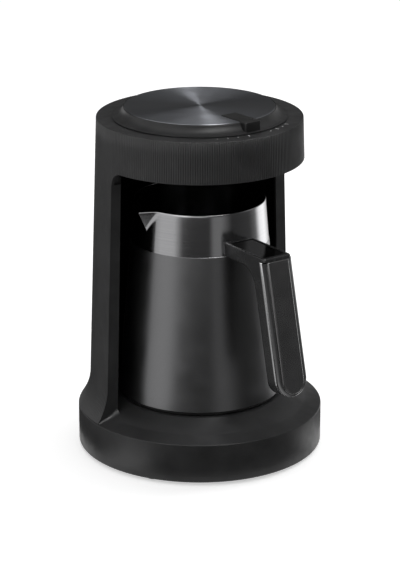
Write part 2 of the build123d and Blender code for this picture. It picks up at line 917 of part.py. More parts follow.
def handle_bracket():
    tongue_high = handle_top - bracket_height
    body = bracket_form(0)
    for hole in handle_screw_hole(screw_radius + seam, tongue_high - bracket_wall, tongue_high):
        body -= hole
    return body


def handle_screws():
    head_low = handle_top - bracket_height + seam
    one = Rot(180, 0, 0) * screw(handle_screw_length - 1)
    return [Pos(0, -place, head_low) * one for place in handle_screw_places]


# ---- wiring -----------------------------------------------------------------
def harness_r(z):
    """Middle of the gap between shell and liner at a height."""
    return (shell_radius(z) - shell_wall + liner_inner(z) + liner_wall) / 2


def wire_harness():
    top = board_z + board_thickness / 2
    points = [
        (terminal_ring + terminal_size[1] / 2 - seam, harness_low),
        (harness_r(harness_low), harness_low),
        (harness_r(top), top),
        (control_board_size[1] / 2 + harness_bend, top),
    ]
    path = FilletPolyline(*[polar(r, harness_angle, z) for r, z in points], radius=harness_bend)
    section = Plane(origin=path @ 0, z_dir=path % 0) * Circle(harness_radius)
    return sweep(section, path)


def main():
    os.makedirs("parts", exist_ok=True)
    save("base_housing", base_housing())
    save("base_cover", base_cover())
    save("rubber_feet", *rubber_feet())
    save("base_screws", *base_screws())
    save("cord_gland", cord_gland())
    save("power_board", power_board())
    save("terminal_block", terminal_block())
    save("connector_post", connector_post())
    save("connector_contacts", *connector_contacts())
    save("outer_shell", outer_shell())
    save("column_liner", column_liner())
    save("head_floor", head_floor())
    save("head_screws", *head_screws())
    save("control_board", control_board())
    save("rotary_switch", rotary_switch())
    save("foam_sensor", foam_sensor())
    save("sensor_lens", sensor_lens())
    save("buzzer", buzzer())
    save("wire_harness", wire_harness())
    turn = Rot(0, 0, pointer_angle)
    save("dial_body", turn * dial_body())
    save("dial_disc", turn * dial_disc())
    save("dial_pointer", turn * dial_pointer())
    save("dial_shaft", turn * dial_shaft())
    save("jug_body", jug_body())
    save("jug_coating", jug_coating())
    save("jug_floor", jug_floor())
    save("heat_spreader", heat_spreader())
    save("heating_element", heating_element())
    save("thermostat", thermostat())
    save("jug_base_ring", jug_base_ring())
    save("jug_connector", jug_connector())
    save("jug_contacts", *jug_contacts())
    save("handle_bracket", handle_bracket())
    save("handle_body", handle_body())
    save("handle_top_inlay", handle_top_inlay())
    save("handle_bezel", handle_bezel())
    save("handle_cover", handle_cover())
    save("handle_screws", *handle_screws())


main()
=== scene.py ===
import json
import math

import bpy
from mathutils import Matrix, Vector


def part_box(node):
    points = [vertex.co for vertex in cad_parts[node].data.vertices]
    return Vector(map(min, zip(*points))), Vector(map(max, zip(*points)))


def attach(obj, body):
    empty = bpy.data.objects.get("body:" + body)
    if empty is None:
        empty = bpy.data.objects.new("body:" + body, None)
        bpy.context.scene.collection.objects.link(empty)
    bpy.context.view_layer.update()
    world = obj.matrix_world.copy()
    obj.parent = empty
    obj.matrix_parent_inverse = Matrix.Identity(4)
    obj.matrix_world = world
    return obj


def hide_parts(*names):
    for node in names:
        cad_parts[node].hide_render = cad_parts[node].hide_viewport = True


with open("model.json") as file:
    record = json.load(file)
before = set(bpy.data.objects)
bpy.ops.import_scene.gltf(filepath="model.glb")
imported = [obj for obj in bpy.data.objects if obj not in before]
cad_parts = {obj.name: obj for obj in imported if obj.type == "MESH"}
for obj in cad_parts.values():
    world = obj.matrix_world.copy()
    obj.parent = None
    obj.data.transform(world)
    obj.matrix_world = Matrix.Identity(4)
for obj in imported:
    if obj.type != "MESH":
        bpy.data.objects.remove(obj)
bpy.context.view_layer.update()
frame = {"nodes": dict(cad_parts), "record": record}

# Electric turkish coffee maker. Metres, in the CAD's own frame: +Z up, front -Y.
MM = 0.001
TAU = 2 * math.pi

# ---- sizes read from the frame ----------------------------------------------
base_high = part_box("base_housing")[1]
shell_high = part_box("outer_shell")[1]
floor_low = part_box("head_floor")[0]
dial_low, dial_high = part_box("dial_body")
disc_low, disc_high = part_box("dial_disc")
pointer_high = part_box("dial_pointer")[1]
jug_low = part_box("jug_body")[0]
skin_low, skin_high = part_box("jug_coating")
pan_low, pan_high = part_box("jug_base_ring")
inner_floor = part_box("jug_floor")[1].z
handle_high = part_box("handle_body")[1]
inlay_low, inlay_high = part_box("handle_top_inlay")
feet_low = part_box("rubber_feet")[0]

# ---- sizes of the looks -----------------------------------------------------
SEAM = 0.1 * MM                      # gap between neighbours
LATHE_STEPS = 480
HARD_ANGLE = 40.0                    # an edge bent by more degrees shows as an edge
AXIS = 1e-7                          # a smaller radius is a point on the axis

BASE_RADIUS = base_high.x
BASE_SIDE = 26.8 * MM
BASE_EDGE = 1.6 * MM
BASE_TOP_EDGE = 0.8 * MM
BASE_TOP_BEND = 78                   # degrees of the top edge's rounding
BASE_WALL = 2.5 * MM
CREASE_RADIUS = 71.6 * MM
CREASE_Z = 29.9 * MM
SEAT_RADIUS = 56.0 * MM
SEAT_Z = base_high.z
CLIMB_BULGE = 0.5 * MM
TOP_ROW = 0.3 * MM                   # rows that follow an edge, and how far from it
CREASE_ROW = 0.4 * MM
SEAT_ROW = 1.0 * MM
POST_HOLE = 15.1 * MM
POST_CHAMFER = 0.3 * MM
WALL = 2.2 * MM

HEAD_TOP = shell_high.z
HEAD_BOTTOM = floor_low.z - 0.5 * MM
HEAD_RADIUS = 68.15 * MM
HEAD_DRAFT = 0.0343
HEAD_PLATE = 2.4 * MM
HEAD_EDGE = 0.25 * MM
FLUTES = 280
FLUTE_DEPTH = 0.34 * MM
FLUTE_STEPS = 6
FLARE_START = 49.0 * MM
FLARE_SPREAD = 7.3 * MM
ARCH_RADIUS = 9.0 * MM
HUB_RADIUS = 8.95 * MM
SHELL_GAP = 0.2 * MM
# rows of the shell: mm above its foot, heights on the column, parts of the way from arch to top
FOOT_ROWS = (0.0, 0.3, 0.9, 2.0, 3.6, 5.6, 8.0, 11.0, 15.0, 20.0)
COLUMN_ROWS = (FLARE_START, 80 * MM, 135 * MM)
SKIRT_ROWS = (0.0, 0.004, 0.02, 0.06, 0.14, 0.25, 0.4, 0.7, 1.0)
# rows on the head's top: how far in, and how much of the flute is left there
RIM_ROWS = ((0.25 * MM, 1.0), (0.9 * MM, 1.0), (1.5 * MM, 0.0))
PLINTH_ROW = 1.5 * MM

LINER_RADIUS = 66.35 * MM
LINER_DRAFT = 0.0282
LINER_THICKNESS = 1.8 * MM
LINER_FOOT = 3.0 * MM
FOOT_FILLET = 4.2                    # mm, at the liner
FOOT_FILLET_END = 1.0                # mm, at the base's edge
FOOT_INSET = (0.2 * MM, 0.5 * MM)    # from the liner, and from the shell's outside
FOOT_LAP = 0.3 * MM
FOOT_SINK = 0.2 * MM
FOOT_LIFT = 0.02 * MM

PLINTH_RADIUS = dial_high.x
PLINTH_GAP = 0.4 * MM
PLINTH_BEVEL = (0.4 * MM, 0.1 * MM)
PLINTH_FOOT = 0.25 * MM
PLINTH_SAG = 1.9 * MM
PLINTH_LIP = (0.6 * MM, 0.4 * MM)    # outside the disc, and below its face
LIP_ROUND = 0.3 * MM
LIP_DROP = 0.1 * MM
RECESS_EDGE = (0.15 * MM, 0.2 * MM)
HUB_GAP = 0.05 * MM
DISC_RADIUS = 49.7 * MM
DISC_Z = disc_high.z
DISC_SEAT = 0.9 * MM
DISC_BEVEL = (0.35 * MM, 0.3 * MM)
DISC_ROW = 0.6 * MM
POINTER_ANGLE = math.radians(3.5)
POINTER_HALF = 6.25 * MM
POINTER_INNER = 29.5 * MM
POINTER_OUTER = 55.6 * MM
POINTER_TOP = pointer_high.z
POINTER_CORNER = 1.2 * MM
POINTER_EDGE = 0.45 * MM
POINTER_GAP = 0.5 * MM

JUG_RIM = 171.0 * MM
JUG_RIM_RADIUS = 44.0 * MM
JUG_TAPER = 0.081
JUG_WALL = 0.9 * MM
JUG_ROWS = (60 * MM, 90 * MM, 120 * MM)
JUG_FLOOR = 1 * MM
JUG_FLOOR_ROW = 6 * MM
JUG_CORNER = 4.0 * MM
COATING_TOP = skin_high.z
COATING_PROUD = 0.12 * MM
COATING_DEPTH = 0.28 * MM
COATING_RECESS = 0.33 * MM
COATING_EDGE = 0.15 * MM
COATING_ROW = 0.6 * MM               # keeps the edge's rounding off the wall
BAND_STEP = 0.05 * MM
BAND_START = 0.4 * MM
# parts of the way from the coating's top to the rim
BAND_ROWS = [3 * i / 50 for i in range(16)] + [0.95, 1.0]
SPOUT_ANGLE = -85.0
SPOUT_HALF = 10.3 * MM
SPOUT_REACH = 51.8 * MM
SPOUT_LOW = 156.4 * MM
SPOUT_DROP = 1.2 * MM
SPOUT_SOFT = 1.1 * MM
SPOUT_SPREAD = 2.2                   # half widths from its middle where the beak ends
SPOUT_FINE = 18.0                    # degrees to each side with close columns
PARALLEL = 1e-12                     # below this a direction runs along the beak's side
PAN_HOLE = 17.5 * MM
PAN_ROUND = 0.8 * MM
PAN_WALL = 2 * MM

HANDLE_TOP = handle_high.z
HANDLE_REACH = 87.75 * MM
HANDLE_LEAN = math.radians(13.5)
HANDLE_LENGTH = 90.5 * MM
HANDLE_HALF = 10.8 * MM
TOP_EDGE = 0.8 * MM
COVER_HALF = 8.3 * MM
COVER_DEPTH = 1.7 * MM
COVER_ROUND = (1.15 * MM, 1.5 * MM)  # across and deep
COVER_BORDER = 1.5 * MM
COVER_SHORT = 0.3 * MM
COVER_CORNER = 1.0 * MM
COVER_BEVEL = 0.15 * MM
BEZEL_HALF = 12.2 * MM
BEZEL_DEPTH = 2.6 * MM
BEZEL_PROUD = 0.9 * MM
BEZEL_RAIL = 5.2 * MM
BEZEL_CROWN = (3.6 * MM, 1.4 * MM)   # width and fall of the frame's rounded front
BEZEL_CORNER = 0.6 * MM
BEZEL_EASE = 0.2 * MM
LEAST_CORNER = 0.05 * MM
GRIP_DEPTH = 11.5 * MM
GRIP_ROUND = 2.6 * MM
GRIP_LAND = 0.5 * MM
ARM_THICKNESS = 10.6 * MM
ARM_CURVE = 15.0 * MM
CAP = 2.2 * MM
CAP_ROUND = 1.2 * MM
CAP_INSET = 0.4 * MM
CAP_CORNER = 2.0 * MM
INLAY_BORDER = 1.8 * MM
INLAY_LIP = 3.0 * MM
INLAY_RECESS = 1.0 * MM
INLAY_CORNER = 1.0 * MM
INLAY_BEVEL = 0.15 * MM
INLAY_WALL = 0.02 * MM               # half the width that the recess's side takes up

MARK_RADIUS = 60.6 * MM
MARK_HIGH = 0.12 * MM
MARK_SINK = 0.02 * MM
MARK_TURNS = (-24, -17.5, -11, -3.5, 14, 20.5, 27, 33)
MARK_DOT = (0.45 * MM, 0.45 * MM)    # half length and half width
MARK_TICK = (1.3 * MM, 0.28 * MM)
MARK_ROUND = 0.9


# ---- materials --------------------------------------------------------------
def new_material(name):
    material = bpy.data.materials.new(name)
    material.use_nodes = True
    tree = material.node_tree
    return material, tree, tree.nodes["Principled BSDF"]


def set_sockets(shader, **values):
    for key, value in values.items():
        shader.inputs[key.replace("_", " ")].default_value = value


def noise(tree, scale, detail=3.0, stretch=(1.0, 1.0, 1.0)):
    """Noise in the object's own space, stretched along the axes."""
    coordinates = tree.nodes.new("ShaderNodeTexCoord")
    mapping = tree.nodes.new("ShaderNodeMapping")
    mapping.inputs["Scale"].default_value = stretch
    texture = tree.nodes.new("ShaderNodeTexNoise")
    texture.inputs["Scale"].default_value = scale
    texture.inputs["Detail"].default_value = detail
    tree.links.new(coordinates.outputs["Object"], mapping.inputs["Vector"])
    tree.links.new(mapping.outputs["Vector"], texture.inputs["Vector"])
    return texture.outputs["Fac"]


def ramp(tree, source, low, high, start=0.3, stop=0.7):
    """Colour between two tones along a factor."""
    node = tree.nodes.new("ShaderNodeValToRGB")
    node.color_ramp.elements[0].position = start
    node.color_ramp.elements[1].position = stop
    node.color_ramp.elements[0].color = (*low, 1.0)
    node.color_ramp.elements[1].color = (*high, 1.0)
    tree.links.new(source, node.inputs["Fac"])
    return node.outputs["Color"]


def span(tree, source, low, high, start=0.3, stop=0.7):
    """Number between two values along a factor."""
    node = tree.nodes.new("ShaderNodeMapRange")
    node.inputs["From Min"].default_value = start
    node.inputs["From Max"].default_value = stop
    node.inputs["To Min"].default_value = low
    node.inputs["To Max"].default_value = high
    tree.links.new(source, node.inputs["Value"])
    return node.outputs["Result"]


def bump(tree, shader, source, strength, distance=0.00002):
    node = tree.nodes.new("ShaderNodeBump")
    node.inputs["Strength"].default_value = strength
    node.inputs["Distance"].default_value = distance
    tree.links.new(source, node.inputs["Height"])
    tree.links.new(node.outputs["Normal"], shader.inputs["Normal"])


def vary_tone(tree, shader, source, tone, less, more, **places):
    """Base colour that drifts from the tone times one factor to the tone times another."""
    low = tuple(c * less for c in tone)
    high = tuple(c * more for c in tone)
    tree.links.new(ramp(tree, source, low, high, **places), shader.inputs["Base Color"])


def vary_gloss(tree, shader, source, roughness, less, more):
    gloss = span(tree, source, roughness * less, roughness * more)
    tree.links.new(gloss, shader.inputs["Roughness"])


def plastic(name, tone, roughness, grain=2600.0, relief=0.12, specular=0.5, **more):
    """Moulded plastic: a fine eroded grain, a faint drift of tone and of gloss."""
    material, tree, shader = new_material(name)
    vary_tone(tree, shader, noise(tree, scale=60.0, detail=4.0), tone, 0.75, 1.25)
    vary_gloss(tree, shader, noise(tree, scale=140.0), roughness, 0.88, 1.12)
    bump(tree, shader, noise(tree, grain, detail=2.0), relief, distance=0.00003)
    set_sockets(shader, Specular_IOR_Level=specular, **more)
    return material


def metal(name, tone, roughness, stretch=(3.0, 3.0, 900.0), relief=0.05, drift=0.06):
    """Metal with fine lines worked round the piece's axis."""
    material, tree, shader = new_material(name)
    lines = noise(tree, scale=4.0, detail=6.0, stretch=stretch)
    vary_tone(tree, shader, lines, tone, 1 - drift, 1 + drift)
    vary_gloss(tree, shader, lines, roughness, 0.85, 1.2)
    bump(tree, shader, lines, relief)
    set_sockets(shader, Metallic=1.0)
    return material


def spun_metal(name, tone, roughness):
    """Dark metal turned on a lathe: rings under the light, and a fan of streaks."""
    material, tree, shader = new_material(name)
    coordinates = tree.nodes.new("ShaderNodeTexCoord")
    rings = tree.nodes.new("ShaderNodeTexWave")
    rings.wave_type = "RINGS"
    rings.rings_direction = "Z"
    set_sockets(rings, Scale=700.0, Distortion=0.6, Detail=3.0)
    tree.links.new(coordinates.outputs["Object"], rings.inputs["Vector"])
    bump(tree, shader, rings.outputs["Fac"], 0.06)
    tangent = tree.nodes.new("ShaderNodeTangent")
    tangent.direction_type = "RADIAL"
    tangent.axis = "Z"
    tree.links.new(tangent.outputs["Tangent"], shader.inputs["Tangent"])
    vary_tone(tree, shader, rings.outputs["Fac"], tone, 0.92, 1.08)
    vary_gloss(tree, shader, noise(tree, scale=90.0), roughness, 0.9, 1.1)
    set_sockets(shader, Metallic=1.0, Anisotropic=0.97, Anisotropic_Rotation=0.25)
    return material


def coating(name, tone, roughness):
    """Charcoal baked coating with a fine metallic fleck."""
    material, tree, shader = new_material(name)
    fleck = noise(tree, scale=5200.0, detail=1.0)
    vary_tone(tree, shader, fleck, tone, 0.9, 1.12, start=0.4, stop=0.75)
    vary_gloss(tree, shader, noise(tree, scale=70.0), roughness, 0.9, 1.1)
    bump(tree, shader, noise(tree, scale=900.0, detail=2.0), 0.03)
    set_sockets(shader, Metallic=1.0)
    return material


def grey(tone):
    return (tone, tone, tone)


COVER_COAT = {"Coat_Weight": 1.0, "Coat_IOR": 1.8, "Coat_Roughness": 0.14}
# name: (kind, tone, roughness), then a plastic's grain, relief and specular level,
# or a metal's stretch of its lines, relief and drift of tone
LOOKS = {
    "housing_black": (plastic, (0.0195, 0.0195, 0.020), 0.42, 2400.0, 0.12),
    "base_black": (plastic, (0.0200, 0.0200, 0.0205), 0.42, 2000.0, 0.08, 0.35),
    "liner_black": (plastic, grey(0.002), 0.35, 1800.0, 0.05, 0.15),
    "gloss_black": (plastic, grey(0.012), 0.22, 1200.0, 0.02),
    "spun_metal": (spun_metal, (0.30, 0.31, 0.335), 0.32),
    "polished_steel": (metal, (0.50, 0.50, 0.51), 0.14),
    "dark_coating": (coating, (0.25, 0.25, 0.255), 0.33),
    "chrome_trim": (metal, (0.52, 0.52, 0.525), 0.12, (3.0, 3.0, 60.0), 0.01, 0.02),
    "foot_rubber": (plastic, grey(0.012), 0.75, 1500.0, 0.3, 0.3),
    "screw_steel": (metal, (0.42, 0.42, 0.43), 0.30, (40.0, 40.0, 400.0)),
    "board_green": (plastic, (0.02, 0.11, 0.05), 0.45),
    "part_grey": (plastic, grey(0.16), 0.5),
    "contact_brass": (metal, (0.62, 0.45, 0.20), 0.25, (30.0, 30.0, 300.0)),
    "element_steel": (metal, (0.36, 0.34, 0.32), 0.4, (60.0, 60.0, 60.0)),
    "spreader_aluminium": (metal, (0.6, 0.6, 0.62), 0.35, (200.0, 4.0, 4.0)),
    "lens_dark": (plastic, (0.010, 0.008, 0.012), 0.10, 500.0, 0.0),
    "harness_grey": (plastic, grey(0.07), 0.6),
    "satin_black": (plastic, (0.032, 0.032, 0.0325), 0.19, 1600.0, 0.02, 0.9),
    "arm_black": (plastic, (0.020, 0.020, 0.0205), 0.26, 1600.0, 0.02),
    "pointer_black": (plastic, grey(0.012), 0.30, 1600.0, 0.03, 0.4),
    "mirror_black": (plastic, grey(0.003), 0.10, 600.0, 0.0, 0.2),
    "print_grey": (plastic, grey(0.50), 0.5),
}
looks = {}
for name, (kind, *values) in LOOKS.items():
    extra = COVER_COAT if name == "satin_black" else {}
    looks[name] = kind(name, *values, **extra)
for part in frame["record"]["subparts"]:
    mesh = frame["nodes"][part["node"]].data
    mesh.materials.clear()
    mesh.materials.append(looks[part["material_slot"]])


# ---- mesh helpers -----------------------------------------------------------
def new_object(name, points, faces):
    mesh = bpy.data.meshes.new(name)
    mesh.from_pydata([tuple(p) for p in points], [], faces)
    piece = bpy.data.objects.new(name, mesh)
    bpy.context.scene.collection.objects.link(piece)
    return piece


def add_piece(name, points, faces, body, slot_name, look=None, sharp=HARD_ANGLE):
    """A mesh piece that rides on a body, with its material and its hard edges."""
    piece = new_object(name, points, faces)
    mesh = piece.data
    mesh.validate()
    mesh.shade_smooth()
    mesh.set_sharp_from_angle(angle=math.radians(sharp))
    mesh.materials.append(look or looks[slot_name])
    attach(piece, body)
    return piece


def spread(low, high, count):
    return [low + (high - low) * i / count for i in range(count + 1)]


def arc(centre, radius, first, last, steps):
    """Points on an arc in a plane, from one angle in degrees to another."""
    points = []
    for degrees in spread(first, last, steps):
        a = math.radians(degrees)
        points.append((centre[0] + radius * math.cos(a), centre[1] + radius * math.sin(a)))
    return points


def turn(radius, angle, z):
    """Point at an angle in radians from the front, towards +X."""
    return Vector((radius * math.sin(angle), -radius * math.cos(angle), z))


def band(count, low, high):
    """Faces between two rings of points, each given by its first point."""
    faces = []
    for i in range(count):
        k = (i + 1) % count
        faces.append([low + i, low + k, high + k, high + i])
    return faces


def lathe(name, outline, body, slot_name, sharp=HARD_ANGLE):
    """Closed solid of revolution of an outline of (radius, height) points."""
    count = LATHE_STEPS
    points = []
    rings = []
    for radius, z in outline:
        if radius < AXIS:
            rings.append([len(points)] * count)
            points.append((0.0, 0.0, z))
            continue
        rings.append([len(points) + i for i in range(count)])
        for i in range(count):
            angle = TAU * i / count
            points.append((radius * math.cos(angle), radius * math.sin(angle), z))
    faces = []
    for a, b in zip(rings, rings[1:] + rings[:1]):
        for i in range(count):
            k = (i + 1) % count
            corners = []
            for v in (a[i], a[k], b[k], b[i]):
                if v not in corners:
                    corners.append(v)
            if len(corners) > 2:
                faces.append(corners)
    return add_piece(name, points, faces, body, slot_name, sharp=sharp)


def loft(name, loops, body, slot_name, look=None, sharp=HARD_ANGLE):
    """Closed solid through loops of equal length, with both ends capped."""
    count = len(loops[0])
    points = [p for loop in loops for p in loop]
    faces = [list(reversed(range(count)))]
    for j in range(len(loops) - 1):
        faces += band(count, j * count, (j + 1) * count)
    faces.append([(len(loops) - 1) * count + i for i in range(count)])
    return add_piece(name, points, faces, body, slot_name, look, sharp)


def rounded_rectangle(half_x, low_y, high_y, radius, steps=6):
    corners = [(half_x, high_y), (-half_x, high_y), (-half_x, low_y), (half_x, low_y)]
    outline = []
    for (x, y), first in zip(corners, (0, 90, 180, 270)):
        centre = (x - math.copysign(radius, x), y + (radius if y == low_y else -radius))
        outline += arc(centre, radius, first, first + 90, steps)
    return outline


def inset_point(outline, i, amount):
    a, b, c = outline[i - 1], outline[i], outline[(i + 1) % len(outline)]
    tx, ty = c[0] - a[0], c[1] - a[1]
    length = math.hypot(tx, ty) or 1.0
    return (b[0] - ty / length * amount, b[1] + tx / length * amount)


def slab(outline, levels):
    """Loops of a slab: an outline drawn in by an amount at each height."""
    places = range(len(outline))
    return [[(*inset_point(outline, i, inset), z) for i in places] for inset, z in levels]


# ---- base -------------------------------------------------------------------
def climb(radius):
    """Height of the base's top at a radius."""
    edge = BASE_RADIUS - BASE_TOP_EDGE
    if radius >= CREASE_RADIUS:
        return BASE_SIDE + (CREASE_Z - BASE_SIDE) * (edge - radius) / (edge - CREASE_RADIUS)
    if radius <= SEAT_RADIUS:
        return SEAT_Z
    t = (CREASE_RADIUS - radius) / (CREASE_RADIUS - SEAT_RADIUS)
    return CREASE_Z + (SEAT_Z - CREASE_Z) * t + 4 * CLIMB_BULGE * t * (1 - t)


def base_outline():
    edge = BASE_RADIUS - BASE_TOP_EDGE
    outline = [(BASE_RADIUS - BASE_WALL, 0.0)]
    outline += arc((BASE_RADIUS - BASE_EDGE, BASE_EDGE), BASE_EDGE, -90, 0, 6)
    outline += arc((edge, BASE_SIDE - BASE_TOP_EDGE), BASE_TOP_EDGE, 0, BASE_TOP_BEND, 5)
    outline += [(r, climb(r)) for r in spread(edge - TOP_ROW, CREASE_RADIUS, 4)]
    outline += [(r, climb(r)) for r in spread(CREASE_RADIUS - CREASE_ROW, SEAT_RADIUS, 14)]
    outline += [(SEAT_RADIUS - SEAT_ROW, SEAT_Z), (POST_HOLE + POST_CHAMFER, SEAT_Z)]
    outline += [(POST_HOLE, SEAT_Z - POST_CHAMFER)]
    outline += [(POST_HOLE, SEAT_Z - WALL), (SEAT_RADIUS, SEAT_Z - WALL)]
    outline += [(CREASE_RADIUS, CREASE_Z - WALL), (BASE_RADIUS - BASE_WALL, BASE_SIDE - WALL)]
    return outline


base = lathe("base_body", base_outline(), "machine", "base_black", sharp=30.0)
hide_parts("base_housing")


# ---- fluted shell -----------------------------------------------------------
def cone_radius(z):
    drop = max(0.0, FLARE_START - z)
    foot = FLARE_SPREAD * (drop / (FLARE_START - BASE_SIDE)) ** 2
    return HEAD_RADIUS + (HEAD_TOP - z) * HEAD_DRAFT + foot


def liner_radius(z):
    return LINER_RADIUS - (z - SEAT_Z) * LINER_DRAFT


def arch_z(y):
    """Lower edge of the wall in front of the column: the skirt and its rounded corner."""
    if y <= -ARCH_RADIUS:
        return HEAD_BOTTOM
    rise = math.sqrt(max(0.0, ARCH_RADIUS**2 - (y + ARCH_RADIUS) ** 2))
    return HEAD_BOTTOM - ARCH_RADIUS + rise


def fluted_shell():
    """The ribbed housing as one closed wall, column by column round the axis."""
    per_side = FLUTES // 2 * FLUTE_STEPS
    columns = []                     # (angle, phase of the flute, True in the back half)
    for start, back in ((-TAU / 4, False), (TAU / 4, True)):
        for i in range(per_side + 1):
            columns.append((start + math.pi * i / per_side, i / FLUTE_STEPS, back))
    edge_z = HEAD_TOP - HEAD_EDGE
    under_z = HEAD_TOP - HEAD_PLATE
    rim = cone_radius(HEAD_TOP)
    points, outer, inner = [], [], []
    for angle, phase, back in columns:
        groove = FLUTE_DEPTH * (0.5 - 0.5 * math.cos(TAU * phase))
        y = -math.cos(angle) * HEAD_RADIUS
        front_face = back and abs(y) < WALL
        low = HEAD_BOTTOM - ARCH_RADIUS if back else arch_z(y)
        levels = [BASE_SIDE + SHELL_GAP + h * MM for h in FOOT_ROWS] if back else []
        levels += COLUMN_ROWS if back else ()
        levels += [low + (edge_z - low) * t for t in SKIRT_ROWS]
        column_out, column_in = [], []
        for z in levels:
            r = cone_radius(z)
            r_in = liner_radius(z) if front_face and z < floor_low.z else r - WALL
            column_out.append(turn(r - groove, angle, z))
            column_in.append(turn(r_in, angle, min(max(z, climb(r_in) + SEAM), under_z)))
        for inwards, depth in RIM_ROWS:
            column_out.append(turn(rim - inwards - groove * depth, angle, HEAD_TOP))
            column_in.append(turn(rim - WALL - inwards, angle, under_z))
        for r in (PLINTH_RADIUS + PLINTH_ROW, HUB_RADIUS):
            column_out.append(turn(r, angle, HEAD_TOP))
            column_in.append(turn(r, angle, under_z))
        for side, column in ((outer, column_out), (inner, column_in)):
            side.append(list(range(len(points), len(points) + len(column))))
            points += column
    faces = []
    total = len(columns)
    for c in range(total):
        n = (c + 1) % total
        if columns[c][2] != columns[n][2]:
            continue
        a, b, a_in, b_in = outer[c], outer[n], inner[c], inner[n]
        for j in range(len(a) - 1):
            faces.append([a[j], b[j], b[j + 1], a[j + 1]])
            faces.append([a_in[j], a_in[j + 1], b_in[j + 1], b_in[j]])
        faces.append([a[0], a_in[0], b_in[0], b[0]])
        faces.append([a[-1], b[-1], b_in[-1], a_in[-1]])
    # the column's two front faces, below the rows that both halves have
    for c, flip in ((per_side + 1, False), (total - 1, True)):
        for j in range(len(FOOT_ROWS) + len(COLUMN_ROWS)):
            quad = [outer[c][j], outer[c][j + 1], inner[c][j + 1], inner[c][j]]
            faces.append(quad[::-1] if flip else quad)
    return points, faces


shell = add_piece("ribbed_shell", *fluted_shell(), "machine", "housing_black", sharp=50.0)
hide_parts("outer_shell")


# ---- column liner, front corners --------------------------------------------
def bay_liner():
    """Dark wall behind the jug as one closed half shell."""
    heights = spread(SEAT_Z - LINER_FOOT, floor_low.z - SEAM, 8)
    first = math.asin((WALL + SEAM) / LINER_RADIUS)
    loops = []
    for angle in spread(TAU / 4 + first, 3 * TAU / 4 - first, 180):
        loop = []
        for side, thick in ((heights, 0.0), (heights[::-1], LINER_THICKNESS)):
            for z in side:
                r = liner_radius(z) + thick
                loop.append(turn(r, angle, max(z, climb(r) + SEAM)))
        loops.append(loop)
    return loops


liner = loft("bay_liner", bay_liner(), "machine", "liner_black")
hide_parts("column_liner")


def foot_gusset(side):
    """Concave corner where a front face of the column runs down onto the base."""
    first = liner_radius(CREASE_Z) + FOOT_INSET[0]
    last = cone_radius(BASE_SIDE) - FOOT_INSET[1]
    loops = []
    for t in spread(0.0, 1.0, 24):
        x = first + (last - first) * t
        radius = (FOOT_FILLET + (FOOT_FILLET_END - FOOT_FILLET) * t) * MM
        floor = climb(x)
        loop = [(FOOT_LAP, floor - FOOT_SINK), (FOOT_LAP, floor + radius)]
        for y, z in arc((-radius, floor + radius), radius, 0, -90, 10):
            loop.append((y, z - FOOT_LIFT))
        loop.append((-radius, floor - FOOT_SINK))
        loops.append([(side * x, y, z) for y, z in loop])
    return loops if side > 0 else [list(reversed(loop)) for loop in loops]


for side, word in ((-1, "left"), (1, "right")):
    loft("column_foot_" + word, foot_gusset(side), "machine", "housing_black")


# ---- dial -------------------------------------------------------------------
def plinth_outline():
    low = dial_low.z
    base_z = HEAD_TOP + PLINTH_GAP
    hub = HUB_RADIUS - HUB_GAP
    foot = (PLINTH_RADIUS, base_z + PLINTH_FOOT)
    lip = (DISC_RADIUS + PLINTH_LIP[0], DISC_Z - PLINTH_LIP[1])
    nx, nz = foot[1] - lip[1], lip[0] - foot[0]
    length = math.hypot(nx, nz)
    outline = [(0.0, low), (hub, low), (hub, base_z)]
    outline += [(PLINTH_RADIUS - PLINTH_BEVEL[0], base_z)]
    outline += [(PLINTH_RADIUS, base_z + PLINTH_BEVEL[1])]
    for t in spread(0.0, 1.0, 16):
        sag = 4 * PLINTH_SAG * t * (1 - t)
        r = foot[0] + (lip[0] - foot[0]) * t + nx / length * sag
        z = foot[1] + (lip[1] - foot[1]) * t + nz / length * sag
        outline.append((r, z))
    outline += arc((lip[0] - LIP_ROUND, lip[1] - LIP_DROP), LIP_ROUND, 40, 90, 3)
    outline += [(DISC_RADIUS + RECESS_EDGE[0], lip[1] + RECESS_EDGE[1])]
    outline += [(DISC_RADIUS + SEAM, DISC_Z - DISC_SEAT), (0.0, DISC_Z - DISC_SEAT)]
    return outline


plinth = lathe("dial_plinth", plinth_outline(), "dial", "base_black")
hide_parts("dial_body")

disc_outline = [(0.0, disc_low.z), (DISC_RADIUS, disc_low.z)]
disc_outline += [(DISC_RADIUS, DISC_Z - DISC_BEVEL[1]), (DISC_RADIUS - DISC_BEVEL[0], DISC_Z)]
disc_outline += [(DISC_RADIUS - DISC_ROW, DISC_Z), (0.0, DISC_Z)]
spun_disc = lathe("spun_disc", disc_outline, "dial", "spun_metal", sharp=15.0)
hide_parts("dial_disc")

pointer_levels = [(0.0, HEAD_TOP + POINTER_GAP)]
for degrees in (0, 30, 60, 90):
    a = math.radians(degrees)
    fall = POINTER_EDGE * (1 - math.sin(a))
    pointer_levels.append((POINTER_EDGE * (1 - math.cos(a)), POINTER_TOP - fall))
bar = rounded_rectangle(POINTER_HALF, -POINTER_OUTER, -POINTER_INNER, POINTER_CORNER)
pointer_turn = Matrix.Rotation(POINTER_ANGLE, 3, "Z")
pointer_loops = [[pointer_turn @ Vector(p) for p in loop] for loop in slab(bar, pointer_levels)]
pointer = loft("dial_grip", pointer_loops, "dial", "gloss_black", looks["pointer_black"])
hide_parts("dial_pointer")


# ---- jug --------------------------------------------------------------------
def jug_cone(z):
    return JUG_RIM_RADIUS + (JUG_RIM - z) * JUG_TAPER


def blend_max(a, b, soft):
    """Larger of two lengths, with a rounded change between them."""
    h = max(0.0, soft - abs(a - b)) / soft
    return max(a, b) + h * h * soft / 4


